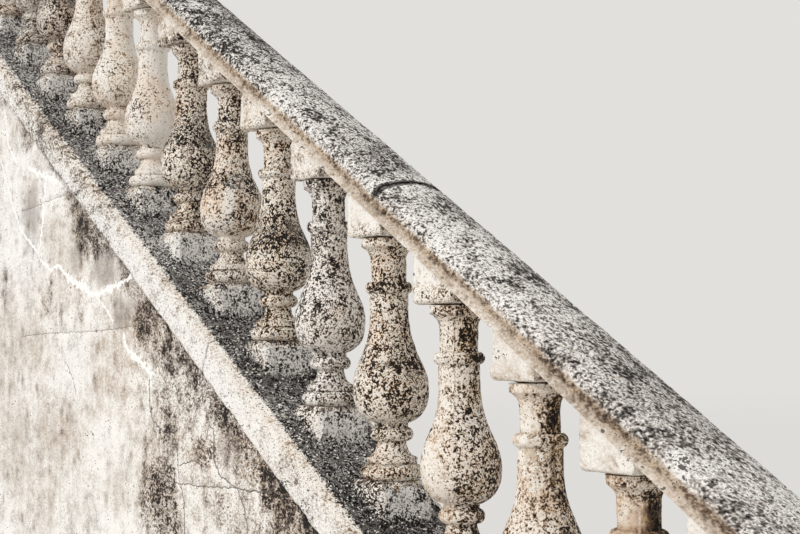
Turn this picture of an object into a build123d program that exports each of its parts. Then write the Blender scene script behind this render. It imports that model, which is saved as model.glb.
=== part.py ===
from build123d import *
import os
from math import atan2, degrees

# Raking stone balustrade on its flank wall, in millimetres.
# X runs along the balustrade and falls towards +X, -Y is the outer face, Z is up.
# The origin is on the ground, at the middle of the wall's foot.

# Driving dimensions: the run
bays = 6
balusters_in_bay = 3
going = 310.0
rise = 165.0
wall_low_height = 120.0

# Driving dimensions: the flank wall and its coping
wall_thickness = 276.0
coping_width = 300.0
coping_depth = 121.0
coping_wash_width = 26.0
coping_wash_fall = 12.0

# Driving dimensions: the seats and the wedge blocks
seat_side = 150.0
seat_height = 64.0
wedge_side = 165.0
wedge_height = 82.0
wedge_round = 15.0

# Driving dimensions: the baluster
baluster_height = 569.0
foot_torus_height = 38.0
foot_torus_diameter = 150.0
foot_fillet_height = 16.0
foot_fillet_diameter = 122.0
scotia_height = 38.0
scotia_diameter = 68.0
collar_height = 32.0
collar_diameter = 104.0
belly_foot_height = 134.0
belly_foot_diameter = 80.0
belly_height = 211.0
belly_diameter = 180.0
shaft_foot_height = 388.0
shaft_diameter = 93.0
ring_height = 453.0
ring_depth = 28.0
ring_diameter = 114.0
neck_diameter = 84.0
cap_band_depth = 19.0
cap_flare_depth = 32.0
cap_diameter = 128.0

# Driving dimensions: the handrail
rail_width = 184.0
rail_side_height = 60.0
rail_shoulder_width = 26.0
rail_shoulder_height = 88.0
rail_crown_height = 101.0
rail_joint_bays = 2
rail_joint_shift = 100.0

# Worked out from the driving dimensions
balusters = bays * balusters_in_bay
run_length = balusters * going
low_end = run_length / 2
high_end = -low_end
pitch = rise / going
coping_top_at_low_end = wall_low_height + coping_depth
rail_seat_height = seat_height + baluster_height + wedge_height
rake = (-going, 0, rise)
rake_length = (going**2 + rise**2) ** 0.5 * balusters

os.makedirs("parts", exist_ok=True)


def coping_top(x):
    """Height of the coping's raking top at a place along the run."""
    return coping_top_at_low_end + (low_end - x) * pitch


def baluster_x(number):
    """Place of a baluster's axis, counted from the low end."""
    return low_end - (number + 0.5) * going


def joint_plane(x, z):
    """Plane of a masonry joint cut square to the rake, facing uphill."""
    return Plane(origin=(x, 0, z), x_dir=(0, 1, 0), z_dir=rake)


def cut_to_length(low_joint, high_joint):
    """Keep the stretch of the stone in work between two joints, where it has them."""
    if low_joint is not None:
        split(bisect_by=low_joint, keep=Keep.TOP)
    if high_joint is not None:
        split(bisect_by=high_joint, keep=Keep.BOTTOM)


# Flank wall: one mass of masonry from the ground to the underside of the coping
with BuildPart() as flank_wall:
    with BuildSketch(Plane.XZ.offset(-wall_thickness / 2)):
        with BuildLine():
            Polyline(
                (low_end, 0),
                (low_end, coping_top(low_end) - coping_depth),
                (high_end, coping_top(high_end) - coping_depth),
                (high_end, 0),
                close=True,
            )
        make_face()
    extrude(amount=wall_thickness)
flank_wall.part.label = "flank_wall"
export_step(flank_wall.part, "parts/flank_wall.step")

# Coping stones: a raking slab with washed edges and one level seat under each baluster
for bay in range(bays):
    first = bay * balusters_in_bay
    low_x = low_end - first * going
    high_x = low_x - balusters_in_bay * going
    joint_depth = coping_depth / 2
    low_joint = joint_plane(low_x, coping_top(low_x) - joint_depth) if bay > 0 else None
    high_joint = joint_plane(high_x, coping_top(high_x) - joint_depth) if bay < bays - 1 else None
    edge = coping_width / 2
    with BuildPart() as coping_stone:
        with BuildSketch(Plane.YZ.offset(low_end)):
            with BuildLine():
                Polyline(
                    (-edge, coping_top(low_end) - coping_depth),
                    (-edge, coping_top(low_end) - coping_wash_fall),
                    (-edge + coping_wash_width, coping_top(low_end)),
                    (edge - coping_wash_width, coping_top(low_end)),
                    (edge, coping_top(low_end) - coping_wash_fall),
                    (edge, coping_top(low_end) - coping_depth),
                    close=True,
                )
            make_face()
        extrude(amount=rake_length, dir=rake)
        cut_to_length(low_joint, high_joint)
        for number in range(first, first + balusters_in_bay):
            x = baluster_x(number)
            seat_top = coping_top(x) + seat_height
            root = seat_height + seat_side / 2 * pitch + coping_depth / 4
            with BuildSketch(Plane.XY.offset(seat_top)):
                with Locations((x, 0)):
                    Rectangle(seat_side, seat_side)
            extrude(amount=-root)
    name = f"coping_stone_{bay + 1}"
    coping_stone.part.label = name
    export_step(coping_stone.part, f"parts/{name}.step")


# Balusters: one turned profile, revolved about each axis
def baluster_outline():
    """Half outline of the baluster, from the seat up to the wedge block."""
    fillet_z = foot_torus_height + foot_fillet_height
    collar_z = fillet_z + scotia_height
    ring_low = ring_height - ring_depth / 2
    ring_high = ring_height + ring_depth / 2
    cap_low = baluster_height - cap_band_depth
    flare_low = cap_low - cap_flare_depth
    torus_core = foot_torus_diameter / 2 - foot_torus_height / 2
    foot = foot_fillet_diameter / 2
    waist = scotia_diameter / 2
    collar = collar_diameter / 2
    shaft = shaft_diameter / 2
    neck = neck_diameter / 2
    ring = ring_diameter / 2
    cap = cap_diameter / 2
    Line((0, 0), (torus_core, 0))
    ThreePointArc((torus_core, 0), (foot_torus_diameter / 2, foot_torus_height / 2), (torus_core, foot_torus_height))
    Polyline((torus_core, foot_torus_height), (foot, foot_torus_height), (foot, fillet_z))
    Spline([(foot, fillet_z), (waist, collar_z)], tangents=[(-1, 0.15), (-0.1, 1)])
    Line((waist, collar_z), (collar - collar_height / 3, collar_z))
    ThreePointArc(
        (collar - collar_height / 3, collar_z),
        (collar, collar_z + collar_height / 2),
        (collar - collar_height / 3, collar_z + collar_height),
    )
    Polyline(
        (collar - collar_height / 3, collar_z + collar_height),
        (belly_foot_diameter / 2, collar_z + collar_height),
        (belly_foot_diameter / 2, belly_foot_height),
    )
    Spline(
        [
            (belly_foot_diameter / 2, belly_foot_height),
            (belly_diameter / 2, belly_height),
            (shaft, shaft_foot_height),
        ],
        tangents=[(1, 0.3), (0, 1), (-0.05, 1)],
    )
    Polyline((shaft, shaft_foot_height), (shaft, ring_low), (ring - ring_depth / 3, ring_low))
    ThreePointArc((ring - ring_depth / 3, ring_low), (ring, ring_height), (ring - ring_depth / 3, ring_high))
    Polyline((ring - ring_depth / 3, ring_high), (neck, ring_high), (neck, flare_low))
    Spline([(neck, flare_low), (cap, cap_low)], tangents=[(0, 1), (1, 0.4)])
    Polyline((cap, cap_low), (cap, baluster_height), (0, baluster_height), (0, 0))


for number in range(balusters):
    x = baluster_x(number)
    seat_top = coping_top(x) + seat_height
    with BuildPart() as baluster:
        with BuildSketch(Plane(origin=(x, 0, seat_top), x_dir=(1, 0, 0), z_dir=(0, -1, 0))):
            with BuildLine():
                baluster_outline()
            make_face()
        revolve(axis=Axis((x, 0, 0), (0, 0, 1)))
    name = f"baluster_{number + 1:02d}"
    baluster.part.label = name
    export_step(baluster.part, f"parts/{name}.step")

# Wedge blocks: level below, cut to the rake above, with a rounded lower edge
for number in range(balusters):
    x = baluster_x(number)
    foot = coping_top(x) + seat_height + baluster_height
    reach = wedge_height + wedge_side * pitch
    with BuildPart() as wedge_block:
        with BuildSketch(Plane.XY.offset(foot)):
            with Locations((x, 0)):
                Rectangle(wedge_side, wedge_side)
        extrude(amount=reach)
        fillet(wedge_block.faces().sort_by(Axis.Z)[0].edges(), radius=wedge_round)
        split(
            bisect_by=Plane(
                origin=(x, 0, coping_top(x) + rail_seat_height),
                x_dir=(0, 1, 0),
                z_dir=(-rise, 0, -going),
            ),
            keep=Keep.TOP,
        )
    name = f"wedge_block_{number + 1:02d}"
    wedge_block.part.label = name
    export_step(wedge_block.part, f"parts/{name}.step")

# Handrail stones: a flat bed, upright sides, rounded shoulders and a low crown
rail_bed = coping_top(low_end) + rail_seat_height
half = rail_width / 2
shoulder = half - rail_shoulder_width
shoulder_middle = (half - rail_shoulder_width * 0.3, rail_side_height + (rail_shoulder_height - rail_side_height) * 0.68)
rails = bays // rail_joint_bays
for number in range(rails):
    low_x = low_end - number * rail_joint_bays * balusters_in_bay * going - rail_joint_shift
    high_x = low_x - rail_joint_bays * balusters_in_bay * going
    low_joint = joint_plane(low_x, coping_top(low_x) + rail_seat_height) if number > 0 else None
    high_joint = joint_plane(high_x, coping_top(high_x) + rail_seat_height) if number < rails - 1 else None
    with BuildPart() as rail_stone:
        with BuildSketch(Plane.YZ.offset(low_end)):
            with BuildLine():
                Polyline(
                    (-half, rail_bed + rail_side_height),
                    (-half, rail_bed),
                    (half, rail_bed),
                    (half, rail_bed + rail_side_height),
                )
                ThreePointArc(
                    (half, rail_bed + rail_side_height),
                    (shoulder_middle[0], rail_bed + shoulder_middle[1]),
                    (shoulder, rail_bed + rail_shoulder_height),
                )
                ThreePointArc(
                    (shoulder, rail_bed + rail_shoulder_height),
                    (0, rail_bed + rail_crown_height),
                    (-shoulder, rail_bed + rail_shoulder_height),
                )
                ThreePointArc(
                    (-shoulder, rail_bed + rail_shoulder_height),
                    (-shoulder_middle[0], rail_bed + shoulder_middle[1]),
                    (-half, rail_bed + rail_side_height),
                )
            make_face()
        extrude(amount=rake_length, dir=rake)
        cut_to_length(low_joint, high_joint)
    name = f"handrail_{number + 1}"
    rail_stone.part.label = name
    export_step(rail_stone.part, f"parts/{name}.step")

print("slope in degrees", round(degrees(atan2(rise, going)), 2))
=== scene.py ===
"""Looks of the raking stone balustrade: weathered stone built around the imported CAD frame."""

import math
import random
from functools import cache

import bmesh
import bpy
import numpy as np
from bpy.props import FloatProperty, FloatVectorProperty, IntProperty, PointerProperty
from bpy.types import Operator, Panel, PropertyGroup
from mathutils import Matrix, Vector, noise
from mathutils.geometry import delaunay_2d_cdt
from mathutils.kdtree import KDTree


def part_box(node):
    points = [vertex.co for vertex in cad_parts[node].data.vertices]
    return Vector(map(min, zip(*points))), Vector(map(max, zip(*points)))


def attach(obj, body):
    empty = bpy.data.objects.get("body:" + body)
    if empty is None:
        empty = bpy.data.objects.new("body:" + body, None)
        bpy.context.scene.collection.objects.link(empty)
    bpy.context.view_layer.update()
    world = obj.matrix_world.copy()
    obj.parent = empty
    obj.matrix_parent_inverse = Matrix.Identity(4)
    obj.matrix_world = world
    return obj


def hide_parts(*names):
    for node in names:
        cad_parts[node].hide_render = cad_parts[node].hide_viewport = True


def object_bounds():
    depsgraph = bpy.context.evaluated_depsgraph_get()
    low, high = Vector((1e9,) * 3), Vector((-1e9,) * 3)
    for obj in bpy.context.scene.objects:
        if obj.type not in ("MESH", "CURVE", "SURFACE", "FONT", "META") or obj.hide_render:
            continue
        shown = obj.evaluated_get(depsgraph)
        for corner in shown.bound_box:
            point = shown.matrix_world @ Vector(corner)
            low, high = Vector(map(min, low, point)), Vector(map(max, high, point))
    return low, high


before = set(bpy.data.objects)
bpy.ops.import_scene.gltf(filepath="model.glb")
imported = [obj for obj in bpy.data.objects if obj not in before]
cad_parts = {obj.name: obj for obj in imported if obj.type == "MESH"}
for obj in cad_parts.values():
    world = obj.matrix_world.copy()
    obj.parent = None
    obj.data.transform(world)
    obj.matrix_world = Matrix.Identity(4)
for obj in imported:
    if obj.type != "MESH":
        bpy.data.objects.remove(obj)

bl_info = {
    "name": "Raking stone balustrade",
    "version": (1, 0, 0),
    "blender": (4, 5, 0),
    "location": "3D View > Sidebar > Balustrade",
    "description": "Builds the weathered stone of a raking balustrade around its CAD frame",
    "category": "Object",
}

CAD_LOW, CAD_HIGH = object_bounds()


# Facts of the CAD frame

def node_names(start):
    """The CAD nodes whose names start like this, counted from the low end."""
    return sorted(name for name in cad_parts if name.startswith(start))


BALUSTERS = node_names("baluster_")
WEDGES = node_names("wedge_block_")
COPINGS = node_names("coping_stone_")
RAILS = node_names("handrail_")


def middle(name):
    """Middle of a CAD node's box."""
    low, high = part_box(name)
    return (low + high) / 2


FIRST, LAST = middle(BALUSTERS[0]), middle(BALUSTERS[-1])
FALL = (LAST.z - FIRST.z) / (FIRST.x - LAST.x)
ANGLE = math.atan(FALL)
ALONG = Vector((-math.cos(ANGLE), 0, math.sin(ANGLE)))
UPRIGHT = Vector((math.sin(ANGLE), 0, math.cos(ANGLE)))
ACROSS = Vector((0, 1, 0))

# Half width of the wall, height of the lowest seat's face, height of every seat above the coping's
# top, and half width of that top between its washes, in metres
WALL_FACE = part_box("flank_wall")[1].y
SEAT_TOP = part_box(BALUSTERS[0])[0].z
SEAT_HEIGHT = 0.064
WASH_EDGE = 0.124

# Closer than this, in metres, points are one
SAME_POINT = 1e-6


def coping_top(x):
    """Height of the coping's raking top at a place along the run."""
    return SEAT_TOP - SEAT_HEIGHT + (FIRST.x - x) * FALL


def tint(red, green, blue):
    """A colour as seen on a screen, 0 to 255, as the linear colour that a render uses."""
    return tuple(
        (c / 255 / 12.92) if c < 11 else ((c / 255 + 0.055) / 1.055) ** 2.4
        for c in (red, green, blue)
    )


# Settings that a user would change

def colour(name, description, *rgb):
    """A colour setting with its default."""
    facts = {"name": name, "description": description, "default": tint(*rgb)}
    return FloatVectorProperty(subtype="COLOR", size=3, min=0, max=1, **facts)


def length(name, description, value):
    """A size setting in metres with its default."""
    facts = {"name": name, "description": description, "default": value}
    return FloatProperty(subtype="DISTANCE", unit="LENGTH", min=0, **facts)


def plain_number(name, description, value, lowest=0):
    """A plain number setting with its default."""
    return FloatProperty(name=name, description=description, min=lowest, default=value)


def count_of(name, description, value):
    """A whole number setting with its default."""
    return IntProperty(name=name, description=description, default=value)


class BalustradeColours(PropertyGroup):
    """Colours of the stone and of what grows on it."""

    black: colour("Black crust", "Black crust, specks and pits", 28, 25, 22)
    brown: colour("Brown", "Stain between the crust and the stone", 112, 91, 72)
    beige: colour("Beige", "Bare stone of the balusters", 200, 179, 155)
    cream: colour("Cream", "Old lime wash on the stone", 240, 233, 222)
    ochre: colour("Ochre lichen", "Yellow brown lichen", 194, 158, 104)
    blush: colour("Blush", "Warm stain that tints the pale stone", 232, 203, 176)
    slate: colour("Slate", "Dark grains of grey stone", 98, 93, 90)
    grey: colour("Grey", "Grey stone", 187, 181, 175)
    pale: colour("Pale", "Lightest grey stone and old render", 243, 240, 235)
    lime: colour("Lime", "Fresh runs of white lime", 248, 247, 244)


class BalustradeWear(PropertyGroup):
    """How deep the weather has worked into the stone."""

    waviness: length("Waviness", "Slow unevenness of worked faces", 0.004)
    roughness: length("Roughness", "Height of the coarse grain", 0.0035)
    pit_depth: length("Pit depth", "Depth of the pits", 0.0028)
    chip_depth: length("Chip depth", "Depth of chips along the edges", 0.007)
    edge_wear: length("Edge wear", "How far every edge has worn back", 0.0015)
    moss_size: length("Moss cushion", "Width of a moss cushion", 0.009)
    seed: count_of("Seed", "Fixed start of every random choice", 7)


class BalustradeFacets(PropertyGroup):
    """How finely the pieces are divided."""

    near_round: count_of("Near facets", "Facets around a near baluster", 108)
    far_round: count_of("Far facets", "Facets around a far baluster", 76)
    near_row: length("Near rows", "Height of a row on a near baluster", 0.0048)
    far_row: length("Far rows", "Height of a row on a far baluster", 0.0078)
    rail: length("Rail facets", "Length of a facet on the handrail", 0.0098)
    coping: length("Coping facets", "Width of a facet on the coping", 0.0101)
    wedge: length("Wedge facets", "Width of a facet on a wedge block", 0.0096)
    wall: length("Wall facets", "Width of a facet on the wall", 0.026)


class BalustradeStage(PropertyGroup):
    """Floor, lamp and camera."""

    floor: colour("Floor", "Pale studio floor", 226, 224, 221)
    backdrop: colour("Backdrop", "Pale background", 226, 224, 221)
    lamp: plain_number("Lamp", "Strength of the soft lamp", 1.52)
    sky: plain_number("Sky", "Strength of the soft light all round", 0.71)
    lens: plain_number("Lens", "Focal length in millimetres", 73.58, 1)


# Node trees written as Python

# What a noise node gives on average, and how much it is stretched to vary by about 1
NOISE_MIDDLE = 0.498
NOISE_GAIN = 12.8


class Number:
    """A number socket, so that node maths reads as plain expressions."""

    def __init__(self, tree, socket):
        self.tree, self.socket = tree, socket

    def __add__(self, other):
        return self.tree.maths("ADD", self, other)

    def __radd__(self, other):
        return self.tree.maths("ADD", other, self)

    def __sub__(self, other):
        return self.tree.maths("SUBTRACT", self, other)

    def __rsub__(self, other):
        return self.tree.maths("SUBTRACT", other, self)

    def __mul__(self, other):
        return self.tree.maths("MULTIPLY", self, other)

    def __truediv__(self, other):
        return self.tree.maths("DIVIDE", self, other)

    def most(self, other):
        """The larger of two numbers."""
        return self.tree.maths("MAXIMUM", self, other)

    def least(self, other):
        """The smaller of two numbers."""
        return self.tree.maths("MINIMUM", self, other)

    def rise(self, low, high):
        """0 at low, 1 at high, smooth between; low may be the larger one."""
        values = {"Value": self, "From Min": low, "From Max": high}
        return self.tree.number("ShaderNodeMapRange", {"interpolation_type": "SMOOTHSTEP"}, values)


class Tree:
    """A shader or geometry node tree that is built from the script."""

    def __init__(self, tree):
        self.tree = tree

    def add(self, kind, settings=None, values=None):
        """A node of this type, with its settings and then the values or links of its sockets."""
        node = self.tree.nodes.new(kind)
        for name, value in (settings or {}).items():
            if name == "stops":
                self.set_stops(node.color_ramp.elements, value)
            else:
                setattr(node, name, value)
        for name, value in (values or {}).items():
            value = getattr(value, "socket", value)
            if isinstance(value, bpy.types.NodeSocket):
                self.tree.links.new(value, node.inputs[name])
            else:
                node.inputs[name].default_value = value
        return node

    def set_stops(self, elements, stops):
        """Gives a new ramp, which has two stops, these places and colours."""
        for i, (place, colour_there) in enumerate(stops):
            element = elements[i] if i < 2 else elements.new(place)
            element.position, element.color = place, (*colour_there[:3], 1)

    def number(self, kind, settings=None, values=None, output=0):
        """The same, giving one of the node's outputs as a number."""
        return Number(self, self.add(kind, settings, values).outputs[output])

    def first(self, kind, settings=None, values=None):
        """The same, giving the node's first output as it is."""
        return self.add(kind, settings, values).outputs[0]

    def maths(self, operation, *parts):
        """A Math node on these numbers."""
        return self.number("ShaderNodeMath", {"operation": operation}, dict(enumerate(parts)))

    def vector_maths(self, operation, *parts):
        """A Vector Math node on these vectors."""
        return self.first("ShaderNodeVectorMath", {"operation": operation}, dict(enumerate(parts)))

    def split(self, vector):
        """The three numbers of a vector."""
        node = self.add("ShaderNodeSeparateXYZ", None, {0: vector})
        return [Number(self, socket) for socket in node.outputs[:3]]

    def join(self, x, y, z):
        """A vector of three numbers."""
        return self.first("ShaderNodeCombineXYZ", None, {0: x, 1: y, 2: z})

    def noise(self, place, size, detail, roughness=0.55):
        """Cloudy noise whose lumps are about this many metres wide."""
        values = {"Vector": place, "Scale": 0.6 / size, "Detail": detail, "Roughness": roughness}
        return self.number("ShaderNodeTexNoise", None, values)

    def spread(self, place, size, detail):
        """The same noise about 0, with a usual size of 1 either way."""
        return (self.noise(place, size, detail, 0.6) - NOISE_MIDDLE) * NOISE_GAIN

    def specks(self, place, size, share):
        """1 inside round specks about this far apart, larger and more of them with share."""
        node = self.add("ShaderNodeTexVoronoi", None, {"Vector": place, "Scale": 1 / size})
        chance = self.split(node.outputs["Color"])[0]
        return (share * chance - Number(self, node.outputs["Distance"])).rise(0, 0.12)

    def ramp(self, where, *stops):
        """The colour that a number picks from stops of place and colour."""
        return self.first("ShaderNodeValToRGB", {"stops": stops}, {0: where})

    def attribute(self, name):
        """A number that was painted on the mesh."""
        settings = {"attribute_type": "GEOMETRY", "attribute_name": name}
        return self.number("ShaderNodeAttribute", settings, output=2)

    def mix(self, factor, first, second, blend="MIX"):
        """Mix of two colours."""
        first, second = (c if not isinstance(c, tuple) else (*c[:3], 1.0) for c in (first, second))
        settings = {"data_type": "RGBA", "blend_type": blend}
        return self.add("ShaderNodeMix", settings, {0: factor, 6: first, 7: second}).outputs[2]


# Geometry node trees

def geometry_tree(name, **inputs):
    """A geometry tree with these named inputs of each kind, and the sockets they arrive on."""
    group = bpy.data.node_groups.new(name, "GeometryNodeTree")
    group.interface.new_socket("Geometry", in_out="OUTPUT", socket_type="NodeSocketGeometry")
    for kind, labels in (*inputs.items(), ("Material", ["Material"])):
        for label in labels:
            group.interface.new_socket(label, in_out="INPUT", socket_type=f"NodeSocket{kind}")
    tree = Tree(group)
    sockets = {socket.name: socket for socket in tree.add("NodeGroupInput").outputs if socket.name}
    for label, socket in sockets.items():
        if socket.type in ("VALUE", "INT"):
            sockets[label] = Number(tree, socket)
    return tree, sockets


def close_tree(tree, geometry, material):
    """Ends a geometry tree in real geometry with its material."""
    real = tree.first("GeometryNodeRealizeInstances", None, {"Geometry": geometry})
    values = {"Geometry": real, "Material": material}
    tree.add("NodeGroupOutput", None, {0: tree.first("GeometryNodeSetMaterial", None, values)})
    return tree.tree


def store(tree, geometry, name, value):
    """Keeps a number on every point of the geometry."""
    values = {"Geometry": geometry, "Name": name, "Value": value}
    return tree.first("GeometryNodeStoreNamedAttribute", None, values)


def kept(tree, name):
    """A number that was kept on every point."""
    return tree.number("GeometryNodeInputNamedAttribute", None, {"Name": name})


# Closer than this, in metres, the first and last facet of a turned outline are joined
SEAM_GAP = 1e-5


@cache
def lathe_tree():
    """Turns an outline about an upright axis."""
    kinds = {"Object": ["Outline"], "Int": ["Facets Round"], "Vector": ["Place"]}
    tree, inputs = geometry_tree("Turned outline", **kinds)
    outline = tree.add("GeometryNodeObjectInfo", None, {"Object": inputs["Outline"]})
    outline = outline.outputs["Geometry"]
    rows = tree.number("GeometryNodeAttributeDomainSize", None, {"Geometry": outline})
    facets = inputs["Facets Round"]
    values = {"Vertices X": facets + 1, "Vertices Y": rows}
    grid = tree.first("GeometryNodeMeshGrid", None, values)
    index = tree.number("GeometryNodeInputIndex")
    column = tree.maths("FLOOR", (index + 0.5) / rows)
    row = index - column * rows
    position = tree.first("GeometryNodeInputPosition")
    values = {"Geometry": outline, "Value": position, "Index": row}
    sampled = tree.first("GeometryNodeSampleIndex", {"data_type": "FLOAT_VECTOR"}, values)
    radius, _, height = tree.split(sampled)
    turn = column / facets * (2 * math.pi)
    ring = tree.join(tree.maths("COSINE", turn) * radius, tree.maths("SINE", turn) * radius, height)
    placed = tree.vector_maths("ADD", ring, inputs["Place"])
    turned = tree.first("GeometryNodeSetPosition", None, {"Geometry": grid, "Position": placed})
    values = {"Geometry": turned, "Distance": SEAM_GAP}
    joined = tree.first("GeometryNodeMergeByDistance", None, values)
    return close_tree(tree, joined, inputs["Material"])


# How wide the lumps of each kind of wear are, in metres
WAVE, GRAIN, PIT, CHIP, MOSS_LUMP = 0.09, 0.011, 0.009, 0.05, 0.014

# The angle at an edge, in radians, at which its wear starts, how much more wears it fully, and
# what makes up for the blur that spreads it
EDGE_ANGLE, EDGE_RANGE, EDGE_GAIN = 0.3, 0.6, 2.2


@cache
def weathering_tree():
    """Wears a stone: slow waves, grain, pits, chipped edges, cracks, runs and mossy lumps."""
    depths = ["Waviness", "Roughness", "Pit Depth", "Chip Depth", "Edge Wear", "Moss Height"]
    kinds = {"Geometry": ["Geometry"], "Float": [*depths, "Balance", "Seed"]}
    tree, inputs = geometry_tree("Weathering", **kinds)
    shift = inputs["Seed"] * 3.7
    position = tree.first("GeometryNodeInputPosition")
    place = tree.vector_maths("ADD", position, tree.join(shift, shift, shift))
    angle = tree.number("GeometryNodeInputMeshEdgeAngle", output=1)

    geometry = inputs["Geometry"]
    # Keeps how sharply each place bends out, as wear, and in, as crevice; the materials paint the
    # crevices darker as painted shade
    for name, side in (("wear", 1), ("crevice", -1)):
        bent = ((angle - EDGE_ANGLE * side) / (EDGE_RANGE * side)).most(0).least(1)
        blurred = tree.number("GeometryNodeBlurAttribute", None, {0: bent, "Iterations": 2})
        geometry = store(tree, geometry, name, (blurred * EDGE_GAIN).least(1))
    wear, free = kept(tree, "wear"), 1 - kept(tree, "bearing")
    pits = tree.noise(place, PIT, 1.0).rise(0.63, 0.72)
    geometry = store(tree, geometry, "pit", pits * free)
    chips = tree.noise(place, CHIP, 3.0, 0.6).rise(0.5, 0.62)
    sink = (
        inputs["Waviness"] * (tree.noise(place, WAVE, 1.0) - inputs["Balance"])
        + inputs["Roughness"] * (tree.noise(place, GRAIN, 3.0, 0.6) - inputs["Balance"])
        + inputs["Pit Depth"] * kept(tree, "pit")
        + inputs["Chip Depth"] * chips * wear
        + inputs["Edge Wear"] * wear
        + kept(tree, "sunk")
        - inputs["Moss Height"] * kept(tree, "moss") * tree.noise(place, MOSS_LUMP, 3.0, 0.6)
    )
    values = {0: tree.first("GeometryNodeInputNormal"), "Scale": sink * free * -1}
    offset = tree.first("ShaderNodeVectorMath", {"operation": "SCALE"}, values)
    worn = tree.first("GeometryNodeSetPosition", None, {"Geometry": geometry, "Offset": offset})
    return close_tree(tree, worn, inputs["Material"])


@cache
def moss_tree():
    """Scatters small round cushions where the surface is mossy."""
    sizes = ["Cushion Size", "Cushions per Square Metre"]
    kinds = {"Geometry": ["Geometry"], "Float": sizes, "Int": ["Seed"]}
    tree, inputs = geometry_tree("Moss cushions", **kinds)
    moss = kept(tree, "moss").rise(0.35, 0.9)
    settings = {"distribute_method": "RANDOM"}
    values = {
        "Mesh": inputs["Geometry"],
        "Density": inputs["Cushions per Square Metre"] * moss,
        "Seed": inputs["Seed"],
    }
    scatter = tree.add("GeometryNodeDistributePointsOnFaces", settings, values)
    ball = tree.first("GeometryNodeMeshIcoSphere", None, {"Radius": 0.5, "Subdivisions": 1})
    ball = tree.first("GeometryNodeSetShadeSmooth", None, {"Geometry": ball})
    size = tree.number("FunctionNodeRandomValue", None, {2: 0.45, 3: 1.3, "Seed": 3}, output=1)
    size = size * inputs["Cushion Size"]
    lump = tree.join(size, size * 0.8, size * 0.55)
    points, _, upwards = scatter.outputs[:3]
    values = {"Points": points, "Instance": ball, "Rotation": upwards, "Scale": lump}
    cushions = tree.first("GeometryNodeInstanceOnPoints", None, values)
    return close_tree(tree, cushions, inputs["Material"])


def run_tree(obj, group, values):
    """Runs a geometry tree on an object and returns the result as a plain mesh."""
    modifier = obj.modifiers.new(group.name, "NODES")
    modifier.node_group = group
    for item in group.interface.items_tree:
        if item.in_out == "INPUT" and item.name in values:
            modifier[item.identifier] = values[item.name]
    obj.update_tag()
    bpy.context.view_layer.update()
    ready = obj.evaluated_get(bpy.context.evaluated_depsgraph_get())
    mesh = bpy.data.meshes.new_from_object(ready)
    obj.modifiers.remove(modifier)
    return mesh


# Meshes

def new_object(name, mesh):
    """A mesh, lamp or camera put in the scene at the origin."""
    obj = bpy.data.objects.new(name, mesh)
    bpy.context.scene.collection.objects.link(obj)
    return obj


def make_mesh(name, points, faces, edges=()):
    """A mesh of these places, joined by these faces and edges."""
    mesh = bpy.data.meshes.new(name)
    mesh.from_pydata([tuple(p) for p in points], list(edges), [tuple(f) for f in faces])
    mesh.update()
    return mesh


def read_points(mesh, what="co"):
    """Places or normals of a mesh's vertices as rows of three numbers."""
    values = np.empty(len(mesh.vertices) * 3, np.float32)
    mesh.vertices.foreach_get(what, values)
    return values.reshape(-1, 3).astype(float)


def paint(mesh, name, values):
    """Keeps one number per vertex for the material to read."""
    attribute = mesh.attributes.get(name) or mesh.attributes.new(name, "FLOAT", "POINT")
    attribute.data.foreach_set("value", np.asarray(values, np.float32))


def painted(mesh, name):
    """The numbers kept under a name."""
    values = np.zeros(len(mesh.vertices), np.float32)
    if name in mesh.attributes:
        mesh.attributes[name].data.foreach_get("value", values)
    return values.astype(float)


def paint_stone(mesh, level, stir, ochre, grey, crust):
    """Paints how light, how speckled, how yellow, how grey and how black the stone is."""
    looks = {"level": level, "stir": stir, "ochre": ochre, "grey": grey, "crust": crust}
    for name, values in looks.items():
        paint(mesh, name, np.broadcast_to(values, len(mesh.vertices)))


def smooth(low, high, values):
    """0 at low, 1 at high, smooth between."""
    t = np.clip((np.asarray(values, float) - low) / (high - low), 0, 1)
    return t * t * (3 - 2 * t)


def spot(points, centre, radius, squeeze):
    """1 at a centre, fading to 0 at a radius; squeeze stretches it along the axes."""
    away = np.linalg.norm((points - np.array(centre)) / np.array(squeeze), axis=1)
    return 1 - smooth(0.35 * radius, radius, away)


def cloudy(points, size, seed=0):
    """Slow unevenness about 0, up to 1 either way, with lumps about this many metres wide."""
    shift = Vector((seed, 0.7 * seed, 1.3 * seed))
    return np.array([noise.noise(Vector(p) / size + shift) for p in points])


# Points closer than this to a bed, in metres, lie on it and don't wear
ON_BED = 2e-4

# Edges sharper than this, in degrees, stay sharp on a worn stone
SHARP_EDGE = 58

# Depths of wear that the settings give, by the name of the weathering tree's input
WEAR_DEPTHS = {
    "Waviness": "waviness",
    "Roughness": "roughness",
    "Pit Depth": "pit_depth",
    "Chip Depth": "chip_depth",
    "Edge Wear": "edge_wear",
}


def weather(name, mesh, material, seed, **changes):
    """Runs the weathering on a mesh and gives the finished object."""
    wear = bpy.context.scene.balustrade_wear
    values = {label: getattr(wear, setting) for label, setting in WEAR_DEPTHS.items()}
    values |= {"Moss Height": 0.0, "Balance": 0.0, "Seed": float(seed + wear.seed)}
    values |= {"Material": material, **changes}
    rough = new_object(name + "_rough", mesh)
    worn = run_tree(rough, weathering_tree(), values)
    bpy.data.objects.remove(rough)
    worn.name = name
    places = read_points(worn)
    places[:, 0] = np.clip(places[:, 0], CAD_LOW[0], CAD_HIGH[0])
    worn.vertices.foreach_set("co", places.astype(np.float32).ravel())
    worn.polygons.foreach_set("use_smooth", [True] * len(worn.polygons))
    worn.set_sharp_from_angle(angle=math.radians(SHARP_EDGE))
    return new_object(name, worn)


def place_piece(obj, slot, *nodes):
    """Makes a finished piece ride on the body and stand for its CAD nodes."""
    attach(obj, "root")
    if nodes:
        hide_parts(*nodes)


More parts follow.
